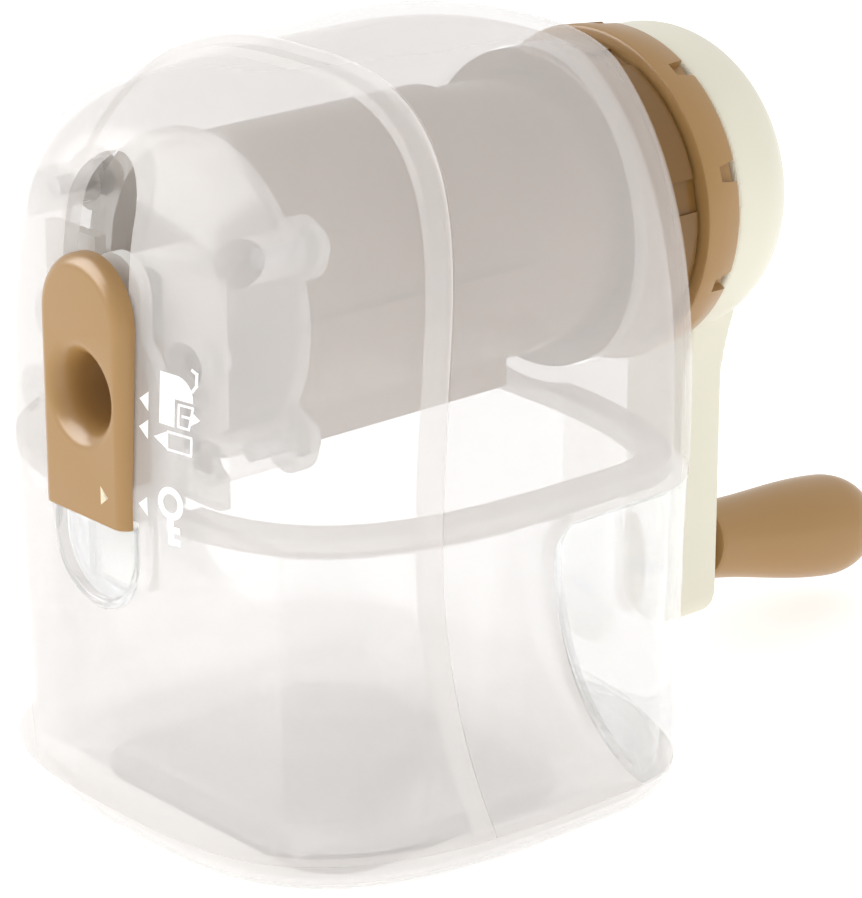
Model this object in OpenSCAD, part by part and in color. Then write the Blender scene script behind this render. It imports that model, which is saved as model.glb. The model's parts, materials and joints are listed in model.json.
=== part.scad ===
// Hand-crank pencil sharpener: frosted two-part casing, clear shavings drawer,
// sliding pencil mouth, geared helical cutter and a crank with a turning knob.
// Frame: +Z up, -Y is the pencil side, +Y is the crank side, X = 0 is the mid plane.
// Origin: middle of the non-slip pad's underside, on the table.

/* [Casing] */
// Width of the casing at its widest
body_w = 76; // [62:1:92]
// Depth of the casing, pencil face to crank face
body_d = 68.6; // [57:0.2:84]
// Height of the casing above the table
body_h = 91; // [86:1:110]
// Distance from the widest section to the crank face
tail_len = 17.8; // [15:0.1:22]
// Backward lean of the upper pencil face, per mm of height
front_lean = 0.05; // [0:0.01:0.08]
// Thickness of the casing wall
wall = 2; // [1.6:0.1:2.4]
// Height of the base tray that closes the casing
base_h = 6; // [5.2:0.1:7.2]
// Radius where the casing turns under to the base
foot_r = 6; // [5:0.1:7]
// Thickness of the non-slip pad
pad_t = 0.8; // [0.6:0.1:1.2]
// Foremost place of the front-to-rear seam, behind the middle
seam_y = -13.5; // [-16:0.5:-8]
// Radius of the seam's sweep
seam_r = 100; // [85:1:120]
// How far one half slides into the other at the seam
lip_len = 1.8; // [1.4:0.1:4]

/* [Pencil mouth] */
// Diameter of the pencil hole
pencil_d = 8.4; // [7:0.1:10.2]
// Height of the sliding pencil mouth
slider_h = 30.2; // [28:0.1:36]
// Thickness of the part of the slider in front of the casing
slider_t = 1.2; // [1:0.1:2]
// Lift from the locked place to the sharpening place
lift_sharpen = 8.3; // [7:0.1:10]
// Further lift that frees the drawer
lift_open = 3; // [2.4:0.1:3.6]

/* [Sharpening mechanism] */
// Height from the crank axis to the top of the casing
axis_drop = 26; // [25:0.5:32]
// Radius of the helical cutter
cutter_r = 5.2; // [4.4:0.1:6.3]
// Radius of the cutter's steel axle
axle_r = 1.5; // [1.2:0.1:1.8]
// Teeth of the fixed ring gear
ring_teeth = 24; // [20:4:28]
// Teeth of the cutter's pinion
pinion_teeth = 10; // [8:1:11]
// Wall of the drum round the cutter
drum_wall = 1.4; // [1.2:0.1:1.8]
// Radius of the drive shaft
shaft_r = 3; // [2.5:0.1:3.6]
// Running clearance of shafts and bearings
run_gap = 0.05; // [0.02:0.01:0.1]

/* [Crank] */
// Height of the knob's axle above the table with the crank down
knob_low = 14.5; // [13:0.5:20]
// Width of the crank arm
arm_w = 10; // [8:0.5:12]
// Thickness of the crank arm
arm_t = 7; // [6:0.5:8]
// Largest radius of the knob
knob_r = 6.8; // [5.8:0.1:8]
// Length of the knob
knob_len = 32.5; // [28:0.5:38]
// Downward cant of the knob's axle
knob_cant = 9; // [0:1:10]
// Grip notches round the lock ring
ring_notches = 9; // [6:1:12]

/* [Drawer] */
// Distance from the table to the drawer's top edge
drawer_top = 42.2; // [36:0.1:42.5]
// Wall of the clear drawer
drawer_wall = 1.8; // [1.4:0.1:2.2]
// Gap between the drawer and the casing
drawer_gap = 0.4; // [0.3:0.05:0.8]

/* [Hidden] */
$fn = 96;
eps = 0.01;
far = 120;

// casing places
y_front = -body_d / 2;
y_rear = body_d / 2;
widest_y = y_rear - tail_len;
nose_p = 3.25;
tail_p = 2.3;
front_from = body_h - 29;
rear_from = body_h - 5;
side_from = body_h - 44;
outline_steps = 48;
seam_z = body_h * 0.505;
lip_t = 1.05;
lip_gap = 0.1;

// crank axis and the pencil mouth
axis_z = body_h - axis_drop;
bore_r = pencil_d / 2;
mouth_tube_r = bore_r + 1.4;
funnel_r = bore_r + 1.3;
slider_w = 2 * (mouth_tube_r + 2);
mouth_z = axis_z - lift_sharpen;
slider_low = mouth_z - 14.2;
slider_top = slider_low + slider_h;
slide_gap = 0.2;
tube_end_y = y_front + 8.3;

// openings in the front face
slot_w = 2 * (mouth_tube_r + 0.4);
window_top = axis_z + 18.3;
recess_w = slider_w + 0.8;
recess_low = slider_low - 11.5;

// drum and carrier along the axis
plate_y = tube_end_y + 6;
plate_t = 2;
drum_y = plate_y + plate_t;
drum_lid = 4;
gear_y = y_rear - 14.3;
gear_w = 3.6;
cut_y0 = drum_y + 10;
cut_y1 = gear_y - 4;
cut_mid = (cut_y0 + cut_y1) / 2;
tip_r = 0.4;
cone_in_r = bore_r - 0.2;
taper = atan((cone_in_r - tip_r) / (gear_y - 3 - drum_y - 12));
cone_mid_r = cone_in_r - (cut_mid - drum_y - 12) * tan(taper);
cutter_drop = cone_mid_r + cutter_r / cos(taper);
cutter_half = (cut_y1 - cut_y0) / 2 / cos(taper);
reach = cutter_drop + (cut_mid - cut_y0) * tan(taper) + cutter_r;
drum_in_r = reach + 1.45;
drum_r = drum_in_r + drum_wall;
tail_r = drum_r - 1;
gear_seat_r = tail_r - 2.35;
drum_step_y = gear_y - 3;
drum_end_y = y_rear - 1.3;
flange_r = reach - 0.3;
trough_r = bore_r + 3.8;
neck_r = bore_r + 2.8;
guide_r = bore_r + 1.8;
hub_r = 8;

// gear train: the pinion rolls inside the ring gear
mesh_s = (gear_y - cut_mid) / cos(taper);
mesh_drop = cutter_drop - (gear_y - cut_mid) * tan(taper);
gear_m = 2 * mesh_drop / (ring_teeth - pinion_teeth);
ring_pitch_r = gear_m * ring_teeth / 2;
pinion_pitch_r = gear_m * pinion_teeth / 2;
tooth_add = 0.62 * gear_m;
tooth_root = 1.35 * gear_m;
tooth_share = 0.38;
space_share = 0.66;

// collar, lock ring and crank
collar_r = drum_r + 1.8;
collar_y0 = y_rear - 2.8;
collar_y1 = y_rear + 6.9;
spigot_r = collar_r - 2.2;
spigot_y = collar_y1 + 5;
web_y0 = y_rear - 1.1;
web_y1 = web_y0 + 3;
bush_r = hub_r + 1.5;
lock_y0 = collar_y1 + 0.4;
lock_y1 = lock_y0 + 5.8;
lock_r = collar_r + 1.3;
cap_y0 = lock_y1 + 0.5;
cap_y1 = cap_y0 + 12.6;
cap_r = collar_r;
cap_round = 8;
cap_wall = 2.2;
arm_y1 = cap_y1;
arm_y0 = arm_y1 - arm_t;
crank_len = axis_z - knob_low;
boss_y = web_y1 + 4;
knob_neck_r = knob_r * 0.74;
pin_r = 2;

// drawer
drawer_z = base_h + 0.3;
drawer_front = y_front + 7.3;
drawer_inset = wall + drawer_gap;
bay_z = drawer_top + 0.4;
bay_t = 2;
bay_ledge = 4.2;
scoop_r = 50;

frost = [0.93, 0.92, 0.91, 0.75];
smoke = [0.66, 0.6, 0.54, 0.8];
tan_plastic = [0.74, 0.58, 0.38];
cream = [0.93, 0.91, 0.82];
glassy = [0.9, 0.93, 0.95, 0.45];
steel = [0.75, 0.76, 0.78];
dark = [0.25, 0.25, 0.26];

// ---- outline of the casing ----

// 1 up to the height where a wall starts to round over, then down to 0 at the top
function fade(z, from, top, p) =
    z <= from ? 1 : pow(max(0.0001, 1 - pow((z - from) / (top - from), p)), 1 / p);
// slight narrowing towards the table
function draft(z, share) = z < side_from ? 1 - share * (side_from - z) / side_from : 1;
// how far the pencil face has leaned back
function lean(z) = front_lean * max(0, z - side_from);
// how far the wall has turned under near the base
function turn_under(z) =
    z >= foot_r + pad_t ? 0 :
    foot_r - sqrt(pow(foot_r, 2) - pow(foot_r + pad_t - z, 2));
function signed_pow(v, p) = sign(v) * pow(abs(v), p);

// points of the casing's level outline at height z, moved inwards by inset
function level(z, inset) =
    let (
        top = body_h - inset,
        half = (body_w / 2 - inset) * draft(z, 0.05) * fade(z, side_from, top, 2.8) - turn_under(z),
        fore = (widest_y - y_front - inset - lean(z)) * draft(z, 0.02)
            * fade(z, front_from, top, 4.4) - turn_under(z),
        aft = (tail_len - inset) * draft(z, 0.01) * fade(z, rear_from, top, 2.4) - turn_under(z)
    )
    [for (i = [0 : outline_steps - 1])
        let (
            a = 360 * i / outline_steps,
            p = 2 / (sin(a) < 0 ? nose_p : tail_p)
        )
        [half * signed_pow(cos(a), p),
         widest_y + (sin(a) < 0 ? fore : aft) * signed_pow(sin(a), p)]];

foot_levels = [for (a = [0 : 22.5 : 90]) pad_t + foot_r * (1 - cos(a))];
dome_levels = [for (a = [0 : 7.25 : 87]) side_from + (body_h - side_from) * sin(a)];
bay_levels = [base_h - 0.5, base_h + 8, base_h + 20, bay_z + bay_t];

// an inset dome is lower, so its levels are drawn closer together
function lowered(z, inset) =
    z - inset * max(0, z - side_from) / (body_h - side_from);

// solid bounded by the casing's outline over a list of heights
module casing(inset, levels) {
    hull()
        for (z = [for (v = levels) lowered(v, inset)])
            translate([0, 0, z])
                linear_extrude(eps)
                    polygon(level(z, inset));
}
module full_casing(inset) {
    casing(inset, concat(foot_levels, [18, 32], dome_levels));
}
module below(z) {
    translate([-far, -far, z - far])
        cube([2 * far, 2 * far, far]);
}
// everything behind the seam, grown forwards by reach_fwd
module behind_seam(reach_fwd = 0) {
    translate([-far / 2, seam_y + seam_r, seam_z])
        rotate([0, 90, 0])
            cylinder(r = seam_r + reach_fwd, h = far, $fn = 180);
}
// the space behind the drawer's finger scoop, moved back by back
module scoop(back, z_top) {
    intersection() {
        translate([-far / 2, 1 + scoop_r + back, z_top])
            rotate([0, 90, 0])
                cylinder(r = scoop_r, h = far, $fn = 180);
        translate([-far / 2, -far / 2, base_h - 1])
            cube([far, far, z_top - base_h + 1]);
    }
}

// ---- placing helpers ----

// a flat outline in X and Z, made solid from y0 to y1
module flat(y0, y1) {
    translate([0, y1, 0])
        rotate([90, 0, 0])
            linear_extrude(y1 - y0)
                children();
}
// a round rod along Y at x, z
module rod(r, y0, y1, x = 0, z = axis_z) {
    translate([x, y0, z])
        rotate([-90, 0, 0])
            cylinder(r = r, h = y1 - y0);
}
// a shape turned about the crank axis from points of radius and y
module turned(points) {
    translate([0, 0, axis_z])
        rotate([-90, 0, 0])
            rotate_extrude()
                polygon(points);
}
// an upright slot outline with a round top or a round bottom
module arched(w, low, high) {
    translate([-w / 2, low])
        square([w, high - w / 2 - low]);
    translate([0, high - w / 2])
        circle(d = w);
}
module cupped(w, low, high) {
    intersection() {
        union() {
            translate([-w / 2, low + w / 2])
                square([w, high - low]);
            translate([0, low + w / 2])
                circle(d = w);
        }
        translate([-w / 2, low])
            square([w, high - low]);
    }
}
// places children along the cutter's tilted axis, +Z towards the crank
module on_cutter_axis() {
    translate([0, cut_mid, axis_z - cutter_drop])
        rotate([-90 + taper, 0, 0])
            children();
}
// places children along the knob's canted axle, +Z away from the arm
module on_knob_axis() {
    translate([0, arm_y1, knob_low])
        rotate([-90 - knob_cant, 0, 0])
            children();
}

// ---- casing ----

boss_points = [[18.4, 9.4], [-18.4, 9.4], [16.5, -13], [-16.5, -13]];
boss_r = 2.6;
disc_points = [[12.5, -3], [-12.5, -3]];
disc_r = 2.8;
guide_y = y_front + 5.9;
guide_t = 1.5;

module front_shell() {
    color(frost)
        difference() {
            union() {
                difference() {
                    full_casing(0);
                    full_casing(wall);
                }
                intersection() {
                    full_casing(wall / 2);
                    union() {
                        for (p = boss_points)
                            rod(boss_r, y_front, plate_y, p.x, axis_z + p.y);
                        for (p = disc_points)
                            rod(disc_r, y_front, guide_y, p.x, axis_z + p.y);
                    }
                }
            }
            behind_seam();
            intersection() {
                full_casing(lip_t);
                behind_seam(lip_len);
            }
            below(base_h);
            flat(y_front - 1, y_front + 12)
                union() {
                    cupped(recess_w, recess_low, slider_low + 1);
                    arched(slot_w, slider_low, window_top);
                }
            for (p = boss_points)
                rod(screw_r, plate_y - 5, plate_y + 1, p.x, axis_z + p.y);
            for (p = disc_points)
                rod(screw_r, guide_y - 1.2, guide_y + 1, p.x, axis_z + p.y);
        }
}

sleeve_gap = 0.3;
sleeve_r = collar_r + sleeve_gap + 1.8;

module rear_shell() {
    color(frost)
        difference() {
            union() {
                intersection() {
                    difference() {
                        full_casing(0);
                        full_casing(wall);
                    }
                    behind_seam();
                }
                intersection() {
                    difference() {
                        full_casing(lip_t + lip_gap);
                        full_casing(wall);
                    }
                    behind_seam(lip_len - lip_gap);
                    translate([-far / 2, -far, 0])
                        cube([far, far + seam_y + 12, far]);
                }
                intersection() {
                    full_casing(wall / 2);
                    rod(sleeve_r, y_rear - 11, y_rear);
                }
            }
            rod(collar_r + sleeve_gap, y_rear - 12, y_rear + 1);
            scoop(0, bay_z);
            below(base_h);
        }
}

rail_x = 21;

module base_tray() {
    color(frost) {
        difference() {
            casing(0, concat(foot_levels, [base_h - 0.05]));
            difference() {
                casing(wall, concat([pad_t + 2], [base_h]));
                below(pad_t + 2);
            }
            translate([-far, -far, base_h - 0.05])
                cube([2 * far, 2 * far, far]);
        }
        for (side = [-1, 1])
            translate([side * rail_x - 1.5, y_front + 12, pad_t + 1.9])
                cube([3, body_d - 24, base_h - pad_t - 1.9]);
        intersection() {
            difference() {
                casing(wall + 0.1, [base_h - 1.5, base_h + 3]);
                casing(wall + 1.2, [base_h - 2, base_h + 4]);
            }
            translate([-far / 2, -far + y_front + 5.5, 0])
                cube([far, far, far]);
        }
    }
}

pad_w = 46;
pad_d = 40;
pad_corner = 8;

module non_slip_pad() {
    color(dark) {
        translate([-pad_w / 2 + pad_corner, -pad_d / 2, 0])
            cube([pad_w - 2 * pad_corner, pad_d, pad_t]);
        translate([-pad_w / 2, -pad_d / 2 + pad_corner, 0])
            cube([pad_w, pad_d - 2 * pad_corner, pad_t]);
        for (x = [-1, 1], y = [-1, 1])
            translate([x * (pad_w / 2 - pad_corner), y * (pad_d / 2 - pad_corner), 0])
                cylinder(r = pad_corner, h = pad_t);
    }
}

module bay_frame() {
    color(frost)
        difference() {
            translate([0, 0, bay_z])
                linear_extrude(bay_t)
                    difference() {
                        polygon(level(bay_z, wall + 0.05));
                        polygon(level(bay_z, wall + bay_ledge));
                        translate([-recess_w / 2 - 3, y_front])
                            square([recess_w + 6, 9]);
                    }
            rod(sleeve_r + 0.05, y_rear - 12, y_rear);
        }
}

// ---- sliding pencil mouth ----

module slot_liner() {
    color(glassy)
        difference() {
            flat(y_front + 0.2, y_front + 2.4)
                cupped(recess_w - 0.1, recess_low + 0.05, slider_low - slide_gap);
            flat(y_front - 1, y_front + 1.4)
                cupped(recess_w - 2.4, recess_low + 1.2, slider_low + 1);
        }
}

spring_x = 10.5;
spring_w = 3;
spring_z = axis_z - 11;
screw_r = 1.2;

module slider_guide() {
    color(frost)
        difference() {
            flat(guide_y, guide_y + guide_t)
                difference() {
                    translate([-15.5, axis_z - 19.5])
                        square([31, 26.5]);
                    translate([-mouth_tube_r - 0.5, mouth_z - mouth_tube_r - 0.8])
                        square([2 * mouth_tube_r + 1, far]);
                }
            for (p = disc_points)
                rod(screw_r, guide_y - 1, guide_y + 3, p.x, axis_z + p.y);
            for (p = boss_points)
                rod(boss_r + 0.3, guide_y - 1, guide_y + 3, p.x, axis_z + p.y);
            translate([spring_x - spring_w / 2 - 0.3, guide_y - 1, spring_z - 2.6])
                cube([spring_w + 0.6, 4, 5.2]);
        }
}

module guide_screws() {
    color(steel)
        for (p = disc_points) {
            rod(screw_r, guide_y - 1.1, guide_y + guide_t, p.x, axis_z + p.y);
            rod(screw_r + 1, guide_y + guide_t, guide_y + guide_t + 1.2, p.x, axis_z + p.y);
        }
}

module detent_spring() {
    color(steel)
        translate([spring_x + spring_w / 2, guide_y + guide_t, spring_z])
            rotate([90, 0, -90])
                linear_extrude(spring_w)
                    polygon([
                        [0, 5.5], [0, 2.5], [1.35, 0.6], [1.35, -0.6], [0, -2.5], [0, -5.5],
                        [-0.4, -5.5], [-0.4, -2.5], [0.9, -0.3], [0.9, 0.3], [-0.4, 2.5], [-0.4, 5.5]
                    ]);
}

module pencil_slider() {
    color(tan_plastic)
        difference() {
            union() {
                intersection() {
                    flat(y_front - slide_gap - slider_t, y_front + 5)
                        arched(slider_w, slider_low, slider_top);
                    rotate([90, 0, 90])
                        linear_extrude(far, center = true)
                            polygon([
                                [y_front - 5, slider_low - 1], [y_front - slide_gap, slider_low - 1],
                                [y_front - slide_gap, side_from],
                                [y_front - slide_gap + lean(slider_top), slider_top + eps],
                                [y_front - 5, slider_top + eps]
                            ]);
                }
                rod(mouth_tube_r, y_front - 1, tube_end_y, 0, mouth_z);
                flat(y_front - 1, guide_y - slide_gap)
                    translate([-mouth_tube_r, mouth_z - 10])
                        square([2 * mouth_tube_r, 10]);
            }
            rod(bore_r, y_front - 5, tube_end_y + 1, 0, mouth_z);
            translate([0, y_front - slide_gap - slider_t, mouth_z])
                rotate([-90, 0, 0])
                    rotate_extrude()
                        polygon([[0, -1], [funnel_r + 0.4, -1], [funnel_r, 0], [bore_r, 3.4], [0, 3.4]]);
        }
}

module slider_carrier() {
    color("white")
        flat(guide_y - 1.8, guide_y - slide_gap)
            difference() {
                union() {
                    translate([-9.6, mouth_z - 12])
                        square([19.2, 11.5]);
                    translate([0, mouth_z])
                        circle(r = mouth_tube_r + 1.8);
                    arched(8.8, recess_low + 2, slider_top - 0.8);
                }
                translate([0, mouth_z])
                    circle(r = mouth_tube_r + eps);
                translate([-mouth_tube_r - eps, mouth_z - 10 - eps])
                    square([2 * mouth_tube_r + 2 * eps, 10]);
            }
}

// ---- drum and gears ----

module mount_plate() {
    color(frost)
        difference() {
            flat(plate_y, plate_y + plate_t)
                union() {
                    translate([0, axis_z])
                        circle(r = drum_r + 1.2);
                    for (p = boss_points)
                        translate([p.x, axis_z + p.y])
                            circle(r = boss_r + 1);
                    translate([-16.5, axis_z - 15.5])
                        square([33, 10]);
                }
            rod(guide_r, plate_y - 1, plate_y + plate_t + 1);
            for (p = boss_points)
                rod(screw_r, plate_y - 1, plate_y + plate_t + 1, p.x, axis_z + p.y);
        }
}

module mount_screws() {
    color(steel)
        for (p = boss_points) {
            rod(screw_r, plate_y - 4.9, plate_y + plate_t, p.x, axis_z + p.y);
            rod(screw_r + 1, plate_y + plate_t, plate_y + plate_t + 1.4, p.x, axis_z + p.y);
        }
}

module pencil_guide() {
    color("white")
        difference() {
            rod(guide_r, tube_end_y + 0.5, drum_y + 1.7);
            rod(bore_r + 0.1, tube_end_y, drum_y + 3);
        }
}

window_half = 11;

module cutter_housing() {
    color(smoke)
        difference() {
            union() {
                turned([
                    [guide_r, drum_y], [drum_r, drum_y], [drum_r, drum_step_y],
                    [tail_r, drum_step_y], [tail_r, drum_end_y], [gear_seat_r + 0.95, drum_end_y],
                    [gear_seat_r + 0.95, gear_y + gear_w / 2 + 0.2],
                    [gear_seat_r, gear_y + gear_w / 2 + 0.2], [gear_seat_r, gear_y - gear_w / 2],
                    [gear_seat_r - 1.75, gear_y - gear_w / 2], [gear_seat_r - 1.75, drum_step_y],
                    [drum_in_r, drum_step_y - 1.4], [drum_in_r, drum_y + drum_lid],
                    [neck_r + run_gap, drum_y + drum_lid], [neck_r + run_gap, drum_y + 1.8],
                    [guide_r, drum_y + 1.8]
                ]);
                for (side = [-1, 1]) {
                    translate([side * drum_r - 1, drum_y, axis_z - 0.6])
                        cube([2, drum_step_y - drum_y, 1.2]);
                    translate([side * (window_half + 0.6) - 0.6, drum_y, axis_z - drum_r + 1.6])
                        cube([1.2, drum_step_y - drum_y, 3.8]);
                }
            }
            translate([-window_half, drum_y + drum_lid + 1.5, axis_z - drum_r - 1])
                cube([2 * window_half, drum_step_y - drum_y - drum_lid - 4.5, drum_r - 8]);
            for (p = boss_points)
                rod(screw_r + 1.3, drum_y - 1, drum_y + 1.7, p.x, axis_z + p.y);
        }
}

// outline of a gear with straight-sided teeth; share is the tooth's part of the pitch
function gear_points(n, root_r, tip_r, share) =
    [for (i = [0 : n - 1], k = [0 : 3])
        let (
            half = 180 / n * share * (k == 0 || k == 3 ? 1.35 : 0.75),
            a = 360 * i / n + (k < 2 ? -half : half),
            r = k == 0 || k == 3 ? root_r : tip_r
        )
        [r * sin(a), r * cos(a)]];

module ring_gear() {
    color(dark)
        translate([0, gear_y - gear_w / 2, axis_z])
            rotate([-90, 0, 0])
                difference() {
                    cylinder(r = gear_seat_r, h = gear_w);
                    translate([0, 0, -1])
                        linear_extrude(gear_w + 2)
                            polygon(gear_points(
                                ring_teeth, ring_pitch_r - tooth_add,
                                ring_pitch_r + tooth_root, space_share
                            ));
                }
}

module rear_collar() {
    color(smoke)
        difference() {
            turned([
                [bush_r, web_y0], [tail_r + 0.1, web_y0], [tail_r + 0.1, collar_y0],
                [collar_r, collar_y0], [collar_r, collar_y1], [spigot_r, collar_y1],
                [spigot_r, spigot_y], [spigot_r - 1.6, spigot_y], [spigot_r - 1.6, web_y1],
                [bush_r, web_y1]
            ]);
            for (i = [0 : 5])
                translate([0, 0, axis_z])
                    rotate([0, 60 * i + 18, 0])
                        translate([-2, y_rear + 2.5, collar_r - 0.6])
                            cube([4, collar_y1 - y_rear - 2.5 + 0.5, 2]);
        }
}

module hub_bush() {
    color("white")
        turned([
            [hub_r + run_gap, web_y0 - 0.4], [bush_r, web_y0 - 0.4], [bush_r, web_y1],
            [bush_r + 1.2, web_y1], [bush_r + 1.2, web_y1 + 1], [hub_r + run_gap, web_y1 + 1]
        ]);
}

module lock_ring() {
    color(tan_plastic)
        difference() {
            turned([
                [spigot_r + 0.3, lock_y0], [lock_r, lock_y0], [lock_r - 0.55, lock_y1],
                [spigot_r + 0.3, lock_y1]
            ]);
            for (i = [0 : ring_notches - 1])
                translate([0, 0, axis_z])
                    rotate([0, 33 + 360 / ring_notches * i, 0])
                        translate([0, 0, lock_r - 1.7])
                            linear_extrude(3)
                                polygon([
                                    [-0.9, lock_y1 - 3], [0.9, lock_y1 - 3],
                                    [1.5, lock_y1 + 1], [-1.5, lock_y1 + 1]
                                ]);
        }
}

// ---- turning parts ----

module cutter_carrier() {
    color(dark)
        difference() {
            union() {
                rod(neck_r, drum_y + 2, drum_y + 7);
                rod(flange_r, drum_y + 6, drum_y + 8.4);
                rod(trough_r, drum_y + 8, drum_step_y);
                intersection() {
                    rod(ring_pitch_r - tooth_add - 0.5, drum_step_y - 1, gear_y + 4);
                    translate([-far / 2, -far / 2, axis_z + 0.9])
                        cube([far, far, far]);
                }
                rod(hub_r, gear_y + 3.5, web_y1 + 1.5);
            }
            rod(bore_r + 0.2, drum_y, drum_y + 11.5);
            translate([0, drum_y + 11, axis_z])
                rotate([-90, 0, 0])
                    cylinder(
                        r1 = cone_in_r + tan(taper), r2 = tip_r,
                        h = drum_step_y - drum_y - 11
                    );
            on_cutter_axis() {
                translate([0, 0, -cutter_half - 0.5])
                    cylinder(r = cutter_r + 0.5, h = 2 * cutter_half + 1);
                translate([0, 0, -cutter_half - 8])
                    cylinder(r = axle_r, h = 2 * cutter_half + 20);
                translate([0, 0, cutter_half])
                    cylinder(r = pinion_pitch_r + tooth_add + 0.5, h = mesh_s - cutter_half + gear_w / 2 + 0.6);
            }
            rod(shaft_r, gear_y + 9, web_y1 + 3);
        }
}

module cutter_axle() {
    color(steel)
        on_cutter_axis()
            translate([0, 0, -cutter_half - 4.4])
                cylinder(r = axle_r, h = mesh_s + cutter_half + 10.2);
}

flutes = 9;

module helical_cutter() {
    color(steel)
        on_cutter_axis()
            difference() {
                translate([0, 0, -cutter_half])
                    linear_extrude(2 * cutter_half, twist = 120, slices = 16)
                        polygon([for (i = [0 : flutes - 1], k = [0 : 1])
                            let (
                                a = 360 / flutes * (i + 0.62 * k),
                                r = k == 0 ? cutter_r : cutter_r - 0.9
                            )
                            [r * cos(a), r * sin(a)]]);
                translate([0, 0, -cutter_half - 1])
                    cylinder(r = axle_r + run_gap, h = 2 * cutter_half + 2);
            }
}

module cutter_pinion() {
    color(dark)
        on_cutter_axis()
            difference() {
                union() {
                    translate([0, 0, mesh_s - gear_w / 2 + 0.2])
                        linear_extrude(gear_w - 0.4)
                            polygon(gear_points(
                                pinion_teeth, pinion_pitch_r - tooth_root,
                                pinion_pitch_r + tooth_add, tooth_share
                            ));
                    translate([0, 0, cutter_half])
                        cylinder(r = axle_r + 1, h = mesh_s - cutter_half);
                }
                translate([0, 0, cutter_half - 1])
                    cylinder(r = axle_r + run_gap, h = mesh_s + 4);
            }
}

module drive_shaft() {
    color(steel)
        rod(shaft_r, gear_y + 9, cap_y1 - 5);
}

module shaft_clip() {
    color(steel)
        turned([
            [shaft_r, web_y1 + 1.7], [shaft_r + 2, web_y1 + 1.7],
            [shaft_r + 2, web_y1 + 2.5], [shaft_r, web_y1 + 2.5]
        ]);
}

arm_corner = 3.7;
arm_below_knob = 8.9;

// right half of the arm's outline, easing out into the round cap, then its mirror image
module arm_outline() {
    half = arm_w / 2;
    tip = -crank_len - arm_below_knob;
    right = concat(
        [[0, tip]],
        [for (a = [0 : 15 : 90])
            [half - arm_corner + arm_corner * sin(a), tip + arm_corner - arm_corner * cos(a)]],
        [for (i = [0 : 8]) [half + 2.6 * pow(i / 8, 1.6), -cap_r - 8.5 + 12 * i / 8]],
        [[half + 2.6, -cap_r / 2]]
    );
    polygon(concat(right, [for (i = [len(right) - 1 : -1 : 1]) [-right[i].x, right[i].y]]));
}

module crank_arm() {
    corner = [for (a = [0 : 10 : 90])
        [cap_r - cap_round + cap_round * cos(a), cap_y1 - cap_round + cap_round * sin(a)]];
    hollow = [for (a = [90 : -10 : 0])
        [cap_r - cap_round + (cap_round - cap_wall) * cos(a),
         cap_y1 - cap_round + (cap_round - cap_wall) * sin(a)]];
    color(cream)
        difference() {
            union() {
                turned(concat(
                    [[cap_r - cap_wall, cap_y0], [cap_r, cap_y0]], corner, [[0, cap_y1]],
                    [[0, cap_y1 - cap_wall]], hollow
                ));
                rod(shaft_r + 3, boss_y, cap_y1 - 1);
                difference() {
                    flat(arm_y0, arm_y1 - eps)
                        translate([0, axis_z])
                            arm_outline();
                    rod(cap_r - 2.5, arm_y0 - 1, arm_y1 - cap_wall);
                }
            }
            rod(shaft_r, boss_y - 1, cap_y1 - 5);
            on_knob_axis() {
                translate([0, 0, -arm_t - 3])
                    cylinder(r = pin_r, h = arm_t + 6);
                translate([0, 0, -arm_t - 3])
                    cylinder(r = pin_r + 1.6, h = 4.2);
            }
        }
}

module knob_axle() {
    color(steel)
        on_knob_axis() {
            translate([0, 0, -arm_t + 1.2])
                cylinder(r = pin_r, h = arm_t + knob_len - 6);
            translate([0, 0, -arm_t + 0.2])
                cylinder(r = pin_r + 1.5, h = 1);
        }
}

knob_gap = 1.2;

module knob() {
    belly = 0.76 * knob_len;
    nose = knob_len - belly;
    side = [for (i = [0 : 10])
        [knob_neck_r + (knob_r - knob_neck_r) * (1 - cos(18 * i)) / 2, knob_gap + (belly - knob_gap) * i / 10]];
    end = [for (a = [10 : 10 : 90])
        [knob_r * pow(cos(a), 0.8), belly + nose * sin(a)]];
    color(tan_plastic)
        on_knob_axis()
            difference() {
                rotate_extrude()
                    polygon(concat([[0, knob_gap]], side, end));
                cylinder(r = pin_r + run_gap, h = knob_len - 4);
            }
}

// ---- drawer ----

module drawer() {
    skin = drawer_inset + drawer_wall;
    color(glassy)
        difference() {
            union() {
                difference() {
                    casing(drawer_inset, bay_levels);
                    translate([-far / 2, -far + drawer_front, 0])
                        cube([far, far, far]);
                }
                intersection() {
                    casing(0.1, bay_levels);
                    scoop(0.3, drawer_top + 0.4);
                }
            }
            difference() {
                casing(skin, bay_levels);
                translate([-far / 2, -far + drawer_front + drawer_wall, 0])
                    cube([far, far, far]);
                below(drawer_z + drawer_wall);
            }
            intersection() {
                casing(0.1 + drawer_wall, bay_levels);
                scoop(0.3 + drawer_wall, drawer_top + 0.4);
                translate([-far / 2, -far / 2, drawer_z + drawer_wall])
                    cube([far, far, far]);
            }
            below(drawer_z);
            translate([-far, -far, drawer_top])
                cube([2 * far, 2 * far, far]);
        }
}

front_shell();
rear_shell();
base_tray();
non_slip_pad();
bay_frame();
slot_liner();
slider_guide();
guide_screws();
detent_spring();
mount_plate();
mount_screws();
pencil_guide();
cutter_housing();
ring_gear();
rear_collar();
hub_bush();
pencil_slider();
slider_carrier();
drawer();
lock_ring();
cutter_carrier();
cutter_axle();
drive_shaft();
shaft_clip();
crank_arm();
knob_axle();
knob();
helical_cutter();
cutter_pinion();
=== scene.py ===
import json
import math

import bmesh
import bpy
from mathutils import Matrix, Vector


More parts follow.
